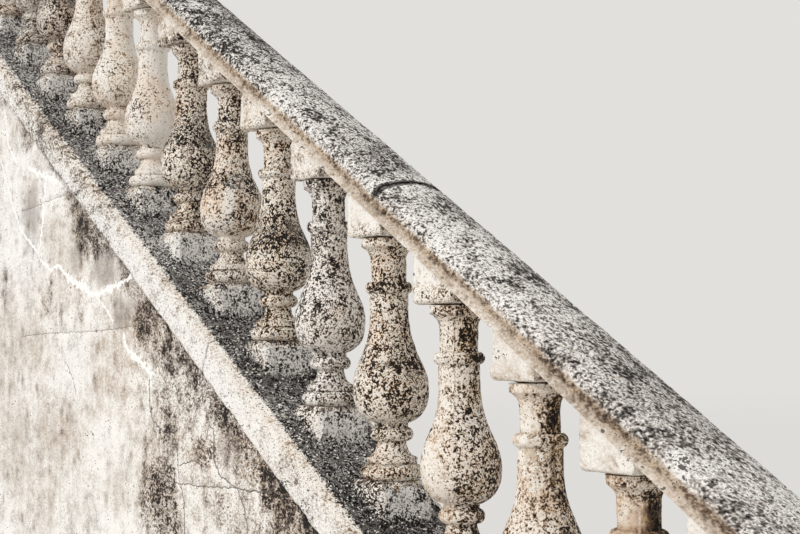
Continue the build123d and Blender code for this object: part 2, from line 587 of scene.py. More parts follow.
def merged_copy(name):
    """A copy of a CAD node's mesh with its loose triangles joined."""
    mesh = bmesh.new()
    mesh.from_mesh(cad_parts[name].data)
    bmesh.ops.remove_doubles(mesh, verts=mesh.verts, dist=SAME_POINT)
    return mesh


# Faces that meet at less than this angle, in radians, are one flat face
FLAT = 0.003


def dice(name, facet, *directions):
    """A copy of a CAD node's mesh cut into small facets by planes square to each direction."""
    mesh = merged_copy(name)
    bmesh.ops.dissolve_limit(mesh, angle_limit=FLAT, verts=mesh.verts, edges=mesh.edges)
    for direction in directions:
        heights = [v.co.dot(direction) for v in mesh.verts]
        low, high = min(heights), max(heights)
        count = max(1, round((high - low) / facet))
        for i in range(1, count):
            where = direction * (low + (high - low) * i / count)
            parts = mesh.verts[:] + mesh.edges[:] + mesh.faces[:]
            plane = {"plane_co": where, "plane_no": direction}
            bmesh.ops.bisect_plane(mesh, geom=parts, dist=1e-5, **plane)
    bmesh.ops.remove_doubles(mesh, verts=mesh.verts, dist=facet * 0.12)
    diced = bpy.data.meshes.new(name + "_diced")
    mesh.to_mesh(diced)
    mesh.free()
    return diced


# Materials

def colours():
    """The colour settings by name."""
    group = bpy.context.scene.balustrade_colours
    return {name: tuple(getattr(group, name)) for name in BalustradeColours.__annotations__}


def open_material(name):
    """A new material with an empty tree, and Object coordinates."""
    material = bpy.data.materials.new(name)
    material.use_nodes = True
    material.node_tree.nodes.clear()
    tree = Tree(material.node_tree)
    return material, tree, tree.add("ShaderNodeTexCoord").outputs["Object"]


# Shine of dry stone
DULL = 0.25


def close_material(tree, tone, roughness, height, depth):
    """Ends a material in one rough surface with its bump."""
    values = {"Strength": 1.0, "Distance": depth, "Height": height}
    values = {"Normal": tree.first("ShaderNodeBump", None, values)}
    values |= {"Base Color": tone, "Roughness": roughness, "Specular IOR Level": DULL}
    surface = tree.first("ShaderNodeBsdfPrincipled", None, values)
    tree.add("ShaderNodeOutputMaterial", None, {"Surface": surface})


def stone_material(name, grain, depth=0.0034, streaks=0.0, blush=0.0, contrast=1.0, along=1.0):
    """Weathered stone, painted by how light, speckled, yellow, grey and crusted each place is.

    The grain's width and the bump's depth are in metres. Streaks, blush and contrast are
    strengths. Along, below 1, draws the grain out along the run.
    """
    box = colours()
    material, tree, place = open_material(name)
    x, y, z = tree.split(place)
    place = tree.join(x * along, y, z)
    dust, speck = tree.spread(place, grain * 0.5, 1.0), tree.spread(place, grain, 1.5)
    blot, patch = tree.spread(place, grain * 2.6, 2.0), tree.spread(place, grain * 6.5, 3.0)
    broad = tree.spread(place, 0.16, 2.0)
    level, stir, ochre = map(tree.attribute, ("level", "stir", "ochre"))
    grey, crust = map(tree.attribute, ("grey", "crust"))
    wear, crevice, pit = map(tree.attribute, ("wear", "crevice", "pit"))

    # How light each place is
    speckle = speck * 0.68 + blot * 0.38 + dust * 0.36
    share = stir * 0.2 + blot * 0.09 + crust * 0.2
    small = tree.specks(place, grain * 1.6, share + 0.3)
    large = tree.specks(place, grain * 3.8, share * 0.8 + 0.1)
    specks = (small * 0.6 + large * 0.8).least(1)
    tone = level + stir * 0.08 + speckle * stir * (0.34 * contrast)
    tone = tone + (patch * 0.7 + broad * 0.3) * (stir * 0.24 + 0.03)
    # Painted shade darkens the creases, and pits are darker; worn convex edges are lighter, partly
    # worn stone and partly a painted highlight along the arrises
    tone = tone + wear * 0.08 - crevice * 0.2 - pit * 0.3
    tone = tone - specks * (stir * (0.46 * contrast) + 0.06)
    if streaks:
        bend = tree.noise(place, 0.25, 2.0) * 0.3
        wide, fine = (
            tree.spread(tree.join((x + bend) * narrow, (y + bend) * narrow, z * short), 0.1, 3.0)
            for narrow, short in ((2.4, 0.42), (7.0, 1.1))
        )
        cloud = tree.spread(place, 0.2, 4.0)
        runs = (wide * 0.65 + fine * 0.4) * (stir.least(0.6) * 0.16 + 0.01)
        tone = tone + (runs + cloud * 0.05) * streaks
        grey = grey + cloud * (0.12 * streaks)

    # Its colour: bare stone, grey stone and yellow lichen, each from dark to light
    black, cream = (0, box["black"]), (1, box["cream"])
    warm = tree.ramp(tone, black, (0.33, box["brown"]), (0.66, box["beige"]), cream)
    cool = tree.ramp(tone, black, (0.33, box["slate"]), (0.69, box["grey"]), (1, box["pale"]))
    yellow = tree.ramp(tone, black, (0.3, box["brown"]), (0.62, box["ochre"]), cream)
    body = tree.mix(grey, warm, cool)
    if blush:
        stain = tree.spread(place, 0.085, 1.5).rise(-1.1, 2.0) * (1 - grey).most(0)
        body = tree.mix(stain * blush, body, box["blush"], "MULTIPLY")
    lichen = (patch * 0.45 + blot * 0.6 + speck * 0.35 + ochre * 3.0).rise(1.5, 2.7)
    body = tree.mix(lichen * 0.85, body, yellow)
    sooty = speck * 0.6 + blot * 0.4 + patch * 0.5 + dust * 0.2 + crust * 2.3
    sooty = sooty.rise(2.05, 2.7)
    soot = tree.mix(dust.rise(0.0, 2.0) * 0.55, box["black"], box["slate"])
    body = tree.mix(sooty * 0.9, body, soot)
    if streaks:
        run = (tree.attribute("lime") * 2.4 + blot * 0.28 + speck * 0.2 + fine * 0.1).rise(0.9, 1.4)
        body = tree.mix(run * 0.9, body, box["lime"])
        crack = (tree.attribute("crack") * 1.8 + speck * 0.2).rise(0.6, 1.0)
        body = tree.mix(crack * 0.8, body, box["slate"])
    height = speckle * 0.07 - sooty * 0.2 - specks * 0.12
    close_material(tree, body, 0.88 + sooty * 0.08, height, depth)
    return material


# Balusters

# Each baluster's looks from the low end: how light, speckled, yellow, grey and crusted it is, and
# how much darker its side away from the lamp is painted, partly stain and partly painted shade; that
# side is also browner, and below -0.1 it is painted lighter instead, as painted light
BALUSTER_LOOKS = [
    (0.62, 0.8, 0.3, 0.2, 0.2, 0.15),
    (0.50, 1.1, 0.4, 0.1, 0.4, 0.10),
    (0.58, 0.9, 0.3, 0.1, 0.2, 0.20),
    (0.70, 0.42, 0.1, 0.15, 0.0, 0.32),
    (0.66, 0.72, 0.3, 0.1, 0.1, 0.28),
    (0.74, 0.98, 0.3, 0.1, 0.1, 0.34),
    (0.68, 1.35, 0.5, 0.0, 0.30, 0.10),
    (0.57, 1.04, 0.03, 0.72, 0.12, 0.04),
    (0.72, 1.70, 0.7, 0.0, 0.36, 0.15),
    (0.74, 1.10, 0.4, 0.1, 0.16, 0.10),
    (0.75, 1.75, 0.5, 0.0, 0.38, 0.16),
    (0.97, 0.80, 0.0, 0.35, 0.10, -0.58),
    (0.95, 0.75, 0.1, 0.35, 0.10, -0.30),
    (0.86, 0.6, 0.0, 0.3, 0.1, 0.15),
    (0.55, 1.1, 0.2, 0.4, 0.5, 0.10),
    (0.55, 1.1, 0.2, 0.4, 0.5, 0.10),
    (0.62, 0.9, 0.3, 0.2, 0.3, 0.10),
    (0.58, 1.0, 0.3, 0.2, 0.3, 0.10),
]

# How far a baluster's top has leaned out over the wall's face, by its place in the list
BALUSTER_LEANS = {4: 0.009, 5: 0.010, 6: 0.012, 7: 0.011, 10: -0.004}

# Marks that stand out, by the baluster's place in the list: what changes and by how much, then
# height above the foot and half height in metres, and bearing round the axis and half width in
# degrees
BALUSTER_MARKS = {
    3: [
        ("level", -0.24, 0.5, 0.12, 8, 40), ("level", 0.1, 0.47, 0.11, -82, 40),
        ("stir", -0.3, 0.46, 0.09, -50, 90), ("stir", 0.4, 0.545, 0.03, -20, 100),
        ("level", -0.12, 0.545, 0.03, -30, 70), ("level", 0.3, 0.47, 0.08, -38, 4),
        ("ochre", 0.5, 0.48, 0.08, 10, 50),
    ],
    4: [
        ("crust", 0.9, 0.4, 0.056, -12, 12), ("level", -0.3, 0.505, 0.065, 5, 44),
        ("level", -0.2, 0.36, 0.11, 40, 30), ("ochre", 0.4, 0.47, 0.12, 10, 50),
        ("level", 0.28, 0.5, 0.075, -80, 34), ("level", 0.22, 0.38, 0.11, -100, 30),
        ("stir", -0.6, 0.48, 0.11, -82, 40), ("stir", -0.3, 0.33, 0.12, -55, 40),
    ],
    5: [
        ("level", -0.4, 0.454, 0.018, -2, 40), ("level", -0.45, 0.3, 0.034, -30, 12),
        ("level", -0.4, 0.165, 0.034, -28, 18), ("level", 0.3, 0.235, 0.03, -5, 24),
        ("level", -0.22, 0.172, 0.044, -4, 38), ("ochre", 0.5, 0.172, 0.044, -4, 38),
        ("level", 0.3, 0.4, 0.036, -10, 20), ("ochre", 1.2, 0.25, 0.014, -17, 10),
        ("level", -0.5, 0.405, 0.022, 6, 16), ("level", -0.45, 0.34, 0.014, -18, 14),
        ("level", -0.28, 0.49, 0.046, -10, 46), ("ochre", 0.6, 0.5, 0.05, -15, 46),
        ("stir", 0.2, 0.23, 0.13, 0, 55), ("level", 0.16, 0.22, 0.15, -85, 42),
        ("stir", -0.65, 0.26, 0.26, -85, 52),
    ],
    6: [
        ("level", 1.1, 0.285, 0.014, -48, 11), ("stir", -1.2, 0.285, 0.013, -48, 11),
        ("level", -0.4, 0.458, 0.018, -60, 30), ("level", -0.35, 0.458, 0.016, -8, 22),
        ("level", -0.1, 0.29, 0.036, -20, 60), ("ochre", 0.7, 0.505, 0.065, 5, 55),
        ("level", 0.14, 0.2, 0.034, -15, 22), ("level", 0.25, 0.072, 0.026, -30, 180),
        ("level", 0.08, 0.38, 0.09, -40, 70),
    ],
    7: [
        ("level", 0.14, 0.42, 0.11, -40, 90),
    ],
    8: [
        ("ochre", 0.9, 0.235, 0.03, -44, 28), ("level", 0.32, 0.13, 0.034, -62, 34),
        ("level", -0.16, 0.265, 0.045, 15, 46), ("level", 0.14, 0.36, 0.06, -55, 30),
    ],
    9: [
        ("level", 0.2, 0.235, 0.095, -28, 15), ("grey", 0.6, 0.235, 0.095, -28, 15),
        ("stir", 0.95, 0.295, 0.04, -30, 90), ("crust", 0.4, 0.295, 0.034, -30, 90),
        ("stir", 0.5, 0.175, 0.04, -60, 30), ("stir", 0.6, 0.51, 0.07, -30, 180),
        ("level", -0.4, 0.405, 0.012, -6, 16), ("level", -0.5, 0.471, 0.01, -24, 180),
        ("level", 0.4, 0.13, 0.008, -24, 180), ("level", 0.35, 0.046, 0.01, -24, 180),
        ("stir", 0.6, 0.02, 0.022, -24, 180),
    ],
    10: [
        ("level", 0.18, 0.23, 0.05, -60, 30),
    ],
    11: [
        ("stir", 0.9, 0.255, 0.085, -62, 24), ("level", -0.2, 0.255, 0.085, -62, 24),
        ("ochre", 0.6, 0.255, 0.085, -62, 24), ("ochre", 0.5, 0.23, 0.11, 20, 40),
    ],
    12: [
        ("ochre", 1.0, 0.26, 0.18, 0, 60), ("level", -0.08, 0.23, 0.12, 0, 50),
    ],
}

# The baluster whose moulding seam shows, and the seam's bearing round the axis in degrees
SEAM_BALUSTER, SEAM_BEARING = 5, -47

# The balusters near the camera, which get finer facets
NEAR_BALUSTERS = range(3, 10)

# Outlines turn a corner where they bend by more than this, in radians
CORNER = 0.45


def outline_of(name):
    """Radius and height of a turned CAD node's outline, from its lowest to its highest point."""
    mesh = merged_copy(name)
    axis = middle(name)
    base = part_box(name)[0].z

    def on_seam(vertex):
        """Whether a vertex lies where the turned surface closes."""
        return abs(vertex.co.y - axis.y) < 1e-4 and vertex.co.x > axis.x + 1e-3

    seam = [v for v in mesh.verts if on_seam(v)]
    lowest = min(v.co.z for v in seam)
    here = min((v for v in seam if v.co.z < lowest + 1e-5), key=lambda v: v.co.x)
    walked, seen = [here], {here}
    while True:
        ahead = [e.other_vert(here) for e in here.link_edges]
        ahead = [v for v in ahead if v not in seen and on_seam(v)]
        if not ahead:
            break
        here = min(ahead, key=lambda v: (v.co - here.co).length)
        walked.append(here)
        seen.add(here)
    found = [(v.co.x - axis.x, v.co.z - base) for v in walked]
    mesh.free()
    if found[-1][1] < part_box(name)[1].z - base - 1e-4:
        raise RuntimeError(f"the outline of {name} stops at {found[-1]}")
    return [(0.0, 0.0), *found, (0.0, found[-1][1])]


def even_rows(outline, facet):
    """The outline with its corners kept and its runs divided into rows about a facet long."""
    points = [Vector((r, 0, z)) for r, z in outline]
    corners = [0]
    for i in range(1, len(points) - 1):
        before, after = points[i] - points[i - 1], points[i + 1] - points[i]
        if before.length > 1e-7 and after.length > 1e-7 and before.angle(after) > CORNER:
            corners.append(i)
    corners.append(len(points) - 1)
    rows = [points[0]]
    for start, end in zip(corners, corners[1:]):
        run = points[start : end + 1]
        reach = [0.0]
        for a, b in zip(run, run[1:]):
            reach.append(reach[-1] + (b - a).length)
        count = max(1, round(reach[-1] / facet))
        for k in range(1, count + 1):
            wanted = reach[-1] * k / count
            j = min(max(np.searchsorted(reach, wanted - 1e-9), 1), len(run) - 1)
            span = reach[j] - reach[j - 1]
            t = (wanted - reach[j - 1]) / span if span > 1e-9 else 1.0
            rows.append(run[j - 1].lerp(run[j], t))
    return rows


class BALUSTRADE_OT_balusters(Operator):
    """Turn the balusters and wear each in its own way."""

    bl_idname = "balustrade.balusters"
    bl_label = "Balusters"

    def execute(self, context):
        facets = context.scene.balustrade_facets
        material = stone_material("turned_limestone", grain=0.0045, blush=0.55, contrast=1.2)
        outline = outline_of(BALUSTERS[0])
        outlines = {}
        for near, facet in ((True, facets.near_row), (False, facets.far_row)):
            rows = even_rows(outline, facet)
            line = make_mesh("outline", rows, [], [(i, i + 1) for i in range(len(rows) - 1)])
            outlines[near] = new_object("baluster_outline", line)
        blank = new_object("blank", make_mesh("blank", [(0, 0, 0)], []))
        for number, name in enumerate(BALUSTERS):
            near = number in NEAR_BALUSTERS
            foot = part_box(name)[0].z
            values = {
                "Outline": outlines[near],
                "Facets Round": facets.near_round if near else facets.far_round,
                "Place": (middle(name).x, middle(name).y, foot),
                "Material": material,
            }
            turned = run_tree(blank, lathe_tree(), values)
            points = read_points(turned)
            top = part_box(name)[1].z
            on_bed = (points[:, 2] < foot + ON_BED) | (points[:, 2] > top - ON_BED)
            paint(turned, "bearing", on_bed)
            leaning = points.astype(np.float32)
            leaning[:, 1] -= BALUSTER_LEANS.get(number, 0.0) * (points[:, 2] - foot) / (top - foot)
            turned.vertices.foreach_set("co", leaning.ravel())
            if number == SEAM_BALUSTER:
                turn, height = self.bearing_and_height(points, name)
                ridge = 1 - smooth(1.6, 3.4, np.abs(turn - SEAM_BEARING))
                paint(turned, "sunk", -0.0022 * ridge * smooth(0.13, 0.15, height))
            changes = {"Balance": NOISE_MIDDLE, "Waviness": 0.006, "Roughness": 0.0048}
            piece = weather(f"{name}_stone", turned, material, number * 5, **changes)
            self.mark(piece.data, number, name)
            place_piece(piece, "baluster_stone", name)
        for obj in (blank, *outlines.values()):
            bpy.data.objects.remove(obj)
        return {"FINISHED"}

    def bearing_and_height(self, points, name):
        """Each point's bearing round the axis in degrees, and its height above the foot."""
        axis = middle(name)
        turn = np.degrees(np.arctan2(points[:, 1] - axis.y, points[:, 0] - axis.x))
        return turn, points[:, 2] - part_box(name)[0].z

    def mark(self, mesh, number, name):
        """Paints where this baluster is light, speckled, yellow, grey or crusted."""
        light, stir, yellow, grey, crust, shaded_side = BALUSTER_LOOKS[number]
        normals = read_points(mesh, "normal")
        points = read_points(mesh)
        turn, height = self.bearing_and_height(points, name)
        ragged = 0.4 * cloudy(points, 0.012) + 0.3 * cloudy(points, 0.03)
        rain = smooth(0.08, 0.5, normals[:, 2])
        under = smooth(0.1, 0.7, -normals[:, 2])
        shoulder = smooth(0.22, 0.27, height) * (1 - smooth(0.31, 0.40, height)) * stir
        # The side turned away from the lamp: painted darker, partly as painted shade and partly as
        # stain, and painted browner and less grey
        away = smooth(-0.1, 0.85, normals @ np.array((0.62, 0.78, 0)))
        looks = {
            "level": light + 0.03 - (shaded_side + 0.10) * away - 0.07 * rain * stir + 0.06 * under,
            "stir": stir * (1 + 0.1 * rain) + 0.3 * shoulder,
            "ochre": yellow + 0.15 * away,
            "grey": grey * (1 - 0.5 * away),
            "crust": crust * (0.3 + 0.45 * rain + 0.3 * away + 0.45 * shoulder),
        }
        for what, change, up, half_height, bearing, half_width in BALUSTER_MARKS.get(number, ()):
            round_it = (turn - bearing + 180) % 360 - 180
            far = np.hypot((height - up) / half_height, round_it / half_width)
            looks[what] = looks[what] + change * (1 - smooth(0.35, 1.05, far + ragged))
        if number == SEAM_BALUSTER:
            past = turn - SEAM_BEARING
            looks["level"] = looks["level"] + 0.25 * (1 - smooth(1.5, 3, np.abs(past)))
            looks["level"] = looks["level"] - 0.3 * smooth(2, 4, past) * (1 - smooth(4, 16, past))
            looks["stir"] = looks["stir"] + 0.2 * smooth(0, 10, past)
        looks["crust"] = np.clip(looks["crust"], 0, 0.7)
        paint_stone(mesh, **looks)


# Wedge blocks

# How far up in metres the foot of a wedge block is crusted, and how much: as a rule, and for the
# blocks that differ, by their place in the list
USUAL_CRUST = (0.03, 0.25)
WEDGE_CRUST = {
    3: (0.02, 0.0),
    4: (0.02, 0.1),
    5: (0.05, 0.7),
    6: (0.032, 0.6),
    10: (0.03, 0.5),
    14: (0.04, 0.8),
    15: (0.04, 0.8),
}

# How far from its axis a baluster's cap bears on the block above it, in metres
CAP_BEARING = 0.055


class BALUSTRADE_OT_wedges(Operator):
    """Cut the wedge blocks between the balusters and the handrail."""

    bl_idname = "balustrade.wedges"
    bl_label = "Wedge blocks"

    def execute(self, context):
        material = stone_material("limewashed_block", grain=0.0042, streaks=0.8, along=0.75)
        facet = context.scene.balustrade_facets.wedge
        for number, name in enumerate(WEDGES):
            mesh = dice(name, facet, Vector((1, 0, 0)), ACROSS, Vector((0, 0, 1)))
            points = read_points(mesh)
            centre = middle(name)
            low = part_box(name)[0].z
            height = (points - points[0]) @ UPRIGHT
            on_bed = height > np.max(height) - 2 * ON_BED
            from_axis = np.hypot(points[:, 0] - centre.x, points[:, 1])
            under = (points[:, 2] < low + ON_BED) & (from_axis < CAP_BEARING)
            paint(mesh, "bearing", on_bed | under)
            changes = {"Chip Depth": 0.009}
            piece = weather(f"{name}_stone", mesh, material, number * 3 + 200, **changes)
            self.mark(piece.data, number, low)
            place_piece(piece, "wedge_stone", name)
        return {"FINISHED"}

    def mark(self, mesh, number, low):
        """White faces, with painted shade on the downhill ones, crusted towards the foot, and broken
        up on the blocks farther away.
        """
        normals, points = read_points(mesh, "normal"), read_points(mesh)
        away = smooth(0.2, 0.9, normals[:, 0])
        reach, crusted = WEDGE_CRUST.get(number, USUAL_CRUST)
        upward = points[:, 2] - low + 0.010 * cloudy(points * (1, 1, 0.3), 0.012)
        crusted = crusted * (1 - smooth(reach * 0.75, reach, upward))
        broken = smooth(-0.1, 0.5, cloudy(points, 0.04, number)) * smooth(5.5, 8, number)
        # Faces turned downhill, which the lamp barely reaches, are painted darker as painted shade
        # and speckled more
        level = 0.94 - 0.17 * away - 0.30 * crusted - 0.12 * broken - 0.10 * smooth(5.5, 9, number)
        stir = 0.12 + 1.1 * crusted + 0.25 * away + 0.40 * broken + 0.12 * smooth(5.5, 7, number)
        paint_stone(mesh, level, stir, 0.5 * crusted, 0.4 - 0.3 * crusted, 0.2 * crusted)


# Handrail

def section_at(name, x):
    """Outline of a CAD node's end face as pairs of y and z, in order round it."""
    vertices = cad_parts[name].data.vertices
    points = {(round(v.co.y, 6), round(v.co.z, 6)) for v in vertices if abs(v.co.x - x) < 1e-5}
    centre = np.mean(list(points), axis=0)
    return sorted(points, key=lambda p: math.atan2(p[1] - centre[1], p[0] - centre[0]))


def even_loop(loop, facet):
    """A closed loop with its corners kept and its sides divided."""
    result = []
    for a, b in zip(loop, loop[1:] + loop[:1]):
        a, b = Vector(a), Vector(b)
        count = max(1, round((b - a).length / facet))
        result += [a.lerp(b, k / count) for k in range(count)]
    kept_points = [result[0]]
    for p in result[1:]:
        if (p - kept_points[-1]).length > facet * 0.4:
            kept_points.append(p)
    return kept_points


# Height of the handrail's upright side, how far beside a joint it doesn't wear, and the middle of
# the black crust beside the joint in view
RAIL_SIDE = 0.059
NEAR_JOINT = 0.06
RAIL_CRUST = (0.80, -0.01, 2.16)


def rail_joints(name):
    """Whether a handrail stone meets another at its low end, and at its high end."""
    return name != RAILS[0], name != RAILS[-1]


class BALUSTRADE_OT_handrail(Operator):
    """Lay the handrail stones on the wedge blocks."""

    bl_idname = "balustrade.handrail"
    bl_label = "Handrail"

    def execute(self, context):
        looks = {"grain": 0.0052, "depth": 0.007, "contrast": 0.85, "along": 0.55}
        material = stone_material("grey_granular_stone", **looks)
        facet = context.scene.balustrade_facets.rail
        low_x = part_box(RAILS[0])[1].x
        loop = even_loop(section_at(RAILS[0], low_x), facet * 0.75)
        bed_at_low = min(p[1] for p in loop)
        for number, name in enumerate(RAILS):
            points, faces = self.stretch(name, loop, bed_at_low, low_x, facet)
            mesh = make_mesh(name, points, faces)
            outward = bmesh.new()
            outward.from_mesh(mesh)
            bmesh.ops.recalc_face_normals(outward, faces=outward.faces)
            outward.to_mesh(mesh)
            outward.free()
            points = np.array(points)
            height = (points - np.array((low_x, 0, bed_at_low))) @ UPRIGHT
            on_side = (height < RAIL_SIDE) & self.near_joint(points, name)
            paint(mesh, "bearing", (height < 5e-4) | on_side)
            changes = {"Chip Depth": 0.003, "Edge Wear": 0.001}
            piece = weather(f"{name}_stone", mesh, material, number * 3 + 300, **changes)
            self.mark(piece.data, name, low_x, bed_at_low)
            place_piece(piece, "rail_stone", name)
        return {"FINISHED"}

    def stretch(self, name, loop, bed_at_low, low_x, facet):
        """Points and faces of one stone, with its joints cut square to the rake."""
        low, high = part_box(name)
        square_low, square_high = rail_joints(name)
        lean = math.sin(ANGLE) * math.cos(ANGLE)
        tallest = max(p[1] for p in loop) - bed_at_low
        start = high.x - (tallest * lean if square_low else 0)
        end = low.x
        count = round((start - end) / math.cos(ANGLE) / facet)
        points, faces, ring = [], [], len(loop)
        centre = sum(loop, Vector((0, 0))) / ring
        caps = [0.25, 0.6, 0.9]
        shrinks = caps + [1.0] * (count + 1) + caps[::-1]
        for row, shrink in enumerate(shrinks):
            share = min(max(row - len(caps), 0), count) / count
            for y, z in loop:
                y, z = centre.x + (y - centre.x) * shrink, centre.y + (z - centre.y) * shrink
                rise = z - bed_at_low
                first = start + (rise * lean if square_low else 0)
                last = end + (rise * lean if square_high else 0)
                x = first + (last - first) * share
                points.append((x, y, z + (low_x - x) * FALL))
        for row in range(len(shrinks) - 1):
            for k in range(ring):
                a, b = row * ring + k, row * ring + (k + 1) % ring
                faces.append((a, b, b + ring, a + ring))
        faces.append(list(range(ring)))
        faces.append([(len(shrinks) - 1) * ring + k for k in range(ring)])
        return points, faces

    def near_joint(self, points, name):
        """Whether each point is close to the joint at either end of its stone."""
        low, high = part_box(name)
        close = np.zeros(len(points), bool)
        for x, joined in zip((high.x, low.x), rail_joints(name)):
            if joined:
                close |= np.abs(points[:, 0] - x) < NEAR_JOINT
        return close

    def mark(self, mesh, name, low_x, bed_at_low):
        """Grey granular top, cream side with a browner band below the shoulder, black joints."""
        normals, points = read_points(mesh, "normal"), read_points(mesh)
        sky = smooth(0.15, 0.75, normals @ UPRIGHT)
        height = (points - np.array((low_x, 0, bed_at_low))) @ UPRIGHT
        sky = np.maximum(sky, smooth(0.034, 0.050, height + 0.006 * cloudy(points, 0.03)))
        band = smooth(0.014, 0.028, height + 0.008 * cloudy(points, 0.06))
        band = band * (1 - smooth(0.032, 0.046, height))
        joint = spot(points, RAIL_CRUST, 0.20, (1, 0.55, 0.6))
        near, far = smooth(1.0, 1.9, points[:, 0]), smooth(0.9, -0.3, points[:, 0])
        along = points @ ALONG
        for end, joined in zip((along.min(), along.max()), rail_joints(name)):
            if joined:
                gap = np.abs(along - end) + 0.004 * cloudy(points, 0.012)
                joint = np.maximum(joint, 3.0 * sky * (1 - smooth(0.006, 0.018, gap)))
        side = 0.70 - 0.26 * band - 0.08 * near
        inner = smooth(-0.02, 0.09, points[:, 1])
        top = 0.67 - 0.11 * near - 0.28 * far - 0.07 * inner
        level = side * (1 - sky) + top * sky - 0.16 * joint
        stir = 0.18 + 0.16 * band * (1 - sky) + (0.82 - 0.28 * near + 0.45 * far) * sky + 0.1 * joint
        grey = 0.3 - 0.2 * band * (1 - sky) + 0.62 * sky
        crust = (0.2 + 0.1 * far) * sky + 0.3 * joint
        paint_stone(mesh, level, stir, 0.2 * band * (1 - sky), grey, crust)


# Coping

# Half length of the run, and half widths of the flat under a baluster's foot and of a whole seat
RUN_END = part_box("flank_wall")[1].x
SEAT_BEARING = 0.062
SEAT_HALF = 0.075

# Moss cushions to the square metre where the moss is thick
MOSS_CUSHIONS = 6200.0


class BALUSTRADE_OT_coping(Operator):
    """Carve the coping stones with their seats, and grow the moss on them."""

    bl_idname = "balustrade.coping"
    bl_label = "Coping stones"

    def execute(self, context):
        wear = context.scene.balustrade_wear
        material = stone_material("limewashed_coping", grain=0.0042, streaks=0.6, along=0.6)
        moss = self.moss_material()
        for number, name in enumerate(COPINGS):
            mesh = dice(name, context.scene.balustrade_facets.coping, ALONG, ACROSS, UPRIGHT)
            points = read_points(mesh)
            above = points[:, 2] - coping_top(points[:, 0])
            inside = WASH_EDGE + 0.002 - np.abs(points[:, 1])
            strip = smooth(-0.004, 0.006, inside) * smooth(-0.003, 0.0, above)
            clear = 1 - smooth(RUN_END - 0.02, RUN_END - 0.01, np.abs(points[:, 0]))
            paint(mesh, "moss", strip * (1 - smooth(0.004, 0.03, above)) * clear)
            from_axis = self.from_axis(points)
            seat_top = above > SEAT_HEIGHT + from_axis * FALL - 2 * ON_BED
            off_centre = np.maximum(np.abs(from_axis), np.abs(points[:, 1]))
            under_foot = seat_top & (off_centre < SEAT_BEARING)
            paint(mesh, "bearing", under_foot)
            paint(mesh, "sunk", self.worn_seats(points, above, from_axis) * (1 - under_foot))
            changes = {"Moss Height": 0.006, "Chip Depth": 0.0035, "Waviness": 0.0025}
            piece = weather(f"{name}_stone", mesh, material, number * 3 + 400, **changes)
            self.mark(piece.data)
            values = {
                "Cushion Size": wear.moss_size,
                "Cushions per Square Metre": MOSS_CUSHIONS,
                "Seed": wear.seed + number,
                "Material": moss,
            }
            cushions = new_object(f"coping_moss_{number + 1}", run_tree(piece, moss_tree(), values))
            place_piece(piece, "coping_stone", name)
            place_piece(cushions, "coping_stone")
        return {"FINISHED"}

    def from_axis(self, points):
        """How far each point is along the run from the nearest baluster's axis."""
        going = (FIRST.x - LAST.x) / (len(BALUSTERS) - 1)
        return (points[:, 0] - FIRST.x + going / 2) % going - going / 2

    def worn_seats(self, points, above, from_axis):
        """How deep each point of a seat has worn in: most on its arrises, and unevenly."""
        on_seat = smooth(0.004, 0.02, above)
        side_x = smooth(SEAT_HALF - 0.013, SEAT_HALF - 0.004, np.abs(from_axis))
        side_y = smooth(SEAT_HALF - 0.013, SEAT_HALF - 0.004, np.abs(points[:, 1]))
        top = smooth(0.013, 0.004, SEAT_HEIGHT + from_axis * FALL - above)
        arris = np.clip(side_x + side_y + top - 1, 0, 1)
        uneven = 0.5 + 0.5 * cloudy(points, 0.035)
        return on_seat * (0.003 * uneven + arris * (0.0035 + 0.009 * uneven))

    def mark(self, mesh):
        """White face, beige wash, black moss strip and mottled seats with runs of lime."""
        points, normals = read_points(mesh), read_points(mesh, "normal")
        above = points[:, 2] - coping_top(points[:, 0])
        ragged = cloudy(points, 0.02)
        on_seat = smooth(0.006, 0.022, above)
        strip = painted(mesh, "moss")
        downhill = smooth(0.25, 0.85, normals[:, 0])
        far_down, far_up = smooth(-0.6, 0.7, points[:, 0]), smooth(-0.4, -1.4, points[:, 0])
        wash = smooth(-0.050 - 0.03 * far_up, -0.016 - 0.02 * far_up, above + 0.016 * ragged)
        wash = wash * (1 - on_seat) * (1 - strip)
        from_axis = self.from_axis(points)
        arris = smooth(0.050, 0.072, from_axis) * smooth(0.045, 0.070, -points[:, 1])
        drip = arris * smooth(-0.25, 0.25, cloudy(points * (1, 1, 0.25), 0.02, 3))
        low = 1 - smooth(0.0, 0.055, above + 0.02 * ragged)
        upper = smooth(0.040, 0.058, above - from_axis * FALL + 0.008 * ragged)
        outer = smooth(0.3, 0.9, -normals[:, 1])
        seat = 0.67 + 0.13 * downhill + 0.09 * outer + 0.24 * cloudy(points, 0.035, 5) + 0.5 * drip
        seat = seat - 0.06 * low - 0.02 * upper - 0.16 * smooth(-0.3, -1.0, points[:, 0])
        plain = 0.93 - 0.08 * wash - 0.05 * (1 - far_down) - far_up * (0.15 + 0.12 * wash)
        plain = plain + 0.12 * cloudy(points, 0.06, 2) * far_up
        level = plain * (1 - on_seat) + seat * on_seat
        level = level * (1 - strip) + 0.42 * strip
        stir = 0.40 + 0.12 * wash + 0.5 * far_up
        stir = stir * (1 - on_seat) + (1.45 - 0.1 * downhill - 0.6 * drip) * on_seat
        stir = stir * (1 - strip) + 1.8 * strip
        ochre = 0.05 * wash + on_seat * (0.2 + 0.55 * upper)
        grey = (0.85 - 0.5 * wash) * (1 - 0.4 * on_seat) + 0.45 * downhill * on_seat
        grey = grey * (1 - strip) + strip
        crust = (0.18 * wash + 0.30 * (1 - wash)) * (0.35 + 0.65 * far_down) * (1 - on_seat)
        crust = crust + on_seat * (0.20 + 0.25 * low + 0.25 * upper - 0.2 * drip) + 0.55 * strip
        paint_stone(mesh, level, stir, ochre, np.clip(grey, 0, 1), crust)

